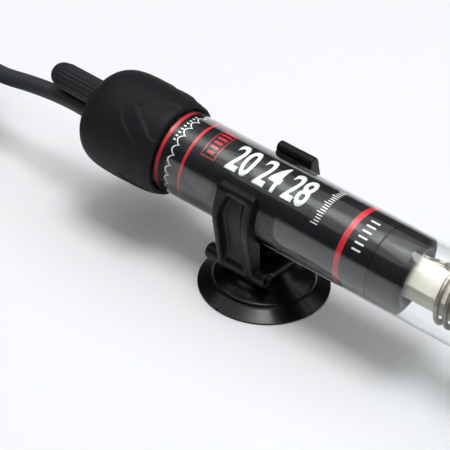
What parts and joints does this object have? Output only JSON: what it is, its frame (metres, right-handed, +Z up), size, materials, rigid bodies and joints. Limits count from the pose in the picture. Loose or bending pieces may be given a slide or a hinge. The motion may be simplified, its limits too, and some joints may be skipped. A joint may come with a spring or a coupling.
{
  "type": "submersible aquarium heater",
  "caption": "Glass-tube aquarium heater with a rubber head, ribbed temperature knob, mains lead, ceramic element, and clips on suction cups.",
  "frame": {"origin": "on the table under the middle of the heater, its lead and plug left out", "axes": "+X along the glass tube from the head to its closed tip, +Z up from the suction cups to the tube"},
  "size_m": [0.3583, 0.0684, 0.0486],
  "materials": {
    "glass": "clear polished borosilicate glass",
    "cap_rubber": "matt soft-touch rubber, shallow moulded scoops",
    "seal_rubber": "smooth black rubber",
    "knob_plastic": "satin black plastic, lengthwise ribs",
    "cam_plastic": "natural nylon",
    "printed_sleeve": "charcoal printed sleeve with white and red print",
    "end_piece_plastic": "satin black heat-proof plastic",
    "phenolic": "brown phenolic board",
    "steel": "plain steel",
    "bimetal": "rolled bimetal strip",
    "magnet_ferrite": "grey ferrite",
    "brass": "plain brass",
    "capacitor_case": "yellow film capacitor case",
    "lead_insulation": "glass-fibre sleeved wire",
    "ceramic": "unglazed ivory ceramic",
    "resistance_wire": "oxidised fine-wound resistance wire",
    "clip_plastic": "semi-gloss black plastic",
    "cup_rubber": "glossy black rubber",
    "cord_jacket": "satin black jacket with faint mottling",
    "plug_plastic": "satin black moulded plug",
    "pin_metal": "nickel-plated pins"
  },
  "bodies": {
    "heater": {"glass_tube": "glass", "head_cap": "cap_rubber", "cap_seal_ring": "seal_rubber", "rubber_bung": "seal_rubber", "spindle_seal_ring": "seal_rubber", "cord_gland": "seal_rubber", "cord_inner_end": "cord_jacket", "label_sleeve": "printed_sleeve", "sleeve_end_piece": "end_piece_plastic", "chassis_disc": "phenolic", "thermostat_base": "phenolic", "bimetal_post": "steel", "bimetal_rivet": "steel", "snap_magnet": "magnet_ferrite", "leaf_bridge": "phenolic", "leaf_rivet": "steel", "capacitor": "capacitor_case", "thermal_fuse": "steel", "terminal_live": "brass", "terminal_neutral": "brass", "lead_live": "lead_insulation", "lead_neutral": "lead_insulation", "element_feed_lead": "lead_insulation", "element_return_lead": "lead_insulation", "ceramic_core": "ceramic", "core_spacer_disc": "ceramic", "heating_coil": "resistance_wire", "coil_start_lead": "resistance_wire", "coil_return_lead": "resistance_wire", "power_cord": "cord_jacket", "cord_hank": "cord_jacket", "plug_lead": "cord_jacket", "cord_tie": "clip_plastic", "plug_strain_relief": "plug_plastic", "plug_body": "plug_plastic", "plug_pin_live": "pin_metal", "plug_pin_neutral": "pin_metal"},
    "knob": {"adjust_knob": "knob_plastic", "knob_spindle": "brass", "adjust_cam": "cam_plastic"},
    "bimetal": {"bimetal_strip": "bimetal", "moving_contact": "steel"},
    "leaf": {"contact_leaf": "brass", "fixed_contact": "steel"},
    "near_clip": {"near_clip": "clip_plastic"},
    "near_cup": {"near_cup": "cup_rubber"},
    "far_clip": {"far_clip": "clip_plastic"},
    "far_cup": {"far_cup": "cup_rubber"}
  },
  "joints": [
    {"name": "knob_turn", "type": "hinge", "parent": "heater", "child": "knob", "pos_m": [-0.105, 0, 0.0369], "axis": [-1, 0, 0], "range_deg": [0, 270]},
    {"name": "leaf_flex", "type": "hinge", "parent": "heater", "child": "leaf", "pos_m": [-0.0455, 0, 0.0326], "axis": [0, 1, 0], "range_deg": [0, 0.95]},
    {"name": "bimetal_flex", "type": "hinge", "parent": "heater", "child": "bimetal", "pos_m": [-0.0235, 0, 0.0297], "axis": [0, 1, 0], "range_deg": [-2.2, 0.75], "stiffness_Nm_per_rad": 0.05},
    {"name": "near_clip_slide", "type": "slide", "parent": "heater", "child": "near_clip", "axis": [1, 0, 0], "range_m": [-0.024, 0.034]},
    {"name": "far_clip_slide", "type": "slide", "parent": "heater", "child": "far_clip", "axis": [1, 0, 0], "range_m": [-0.034, 0.02]},
    {"name": "near_cup_swivel", "type": "hinge", "parent": "near_clip", "child": "near_cup", "pos_m": [-0.0344, 0, 0.0118], "axis": [0, 0, 1], "continuous": true},
    {"name": "far_cup_swivel", "type": "hinge", "parent": "far_clip", "child": "far_cup", "pos_m": [0.0806, 0, 0.0118], "axis": [0, 0, 1], "continuous": true}
  ],
  "couplings": [
    {"joint": "leaf_flex", "follows": "knob_turn", "ratio": 0.0035}
  ]
}
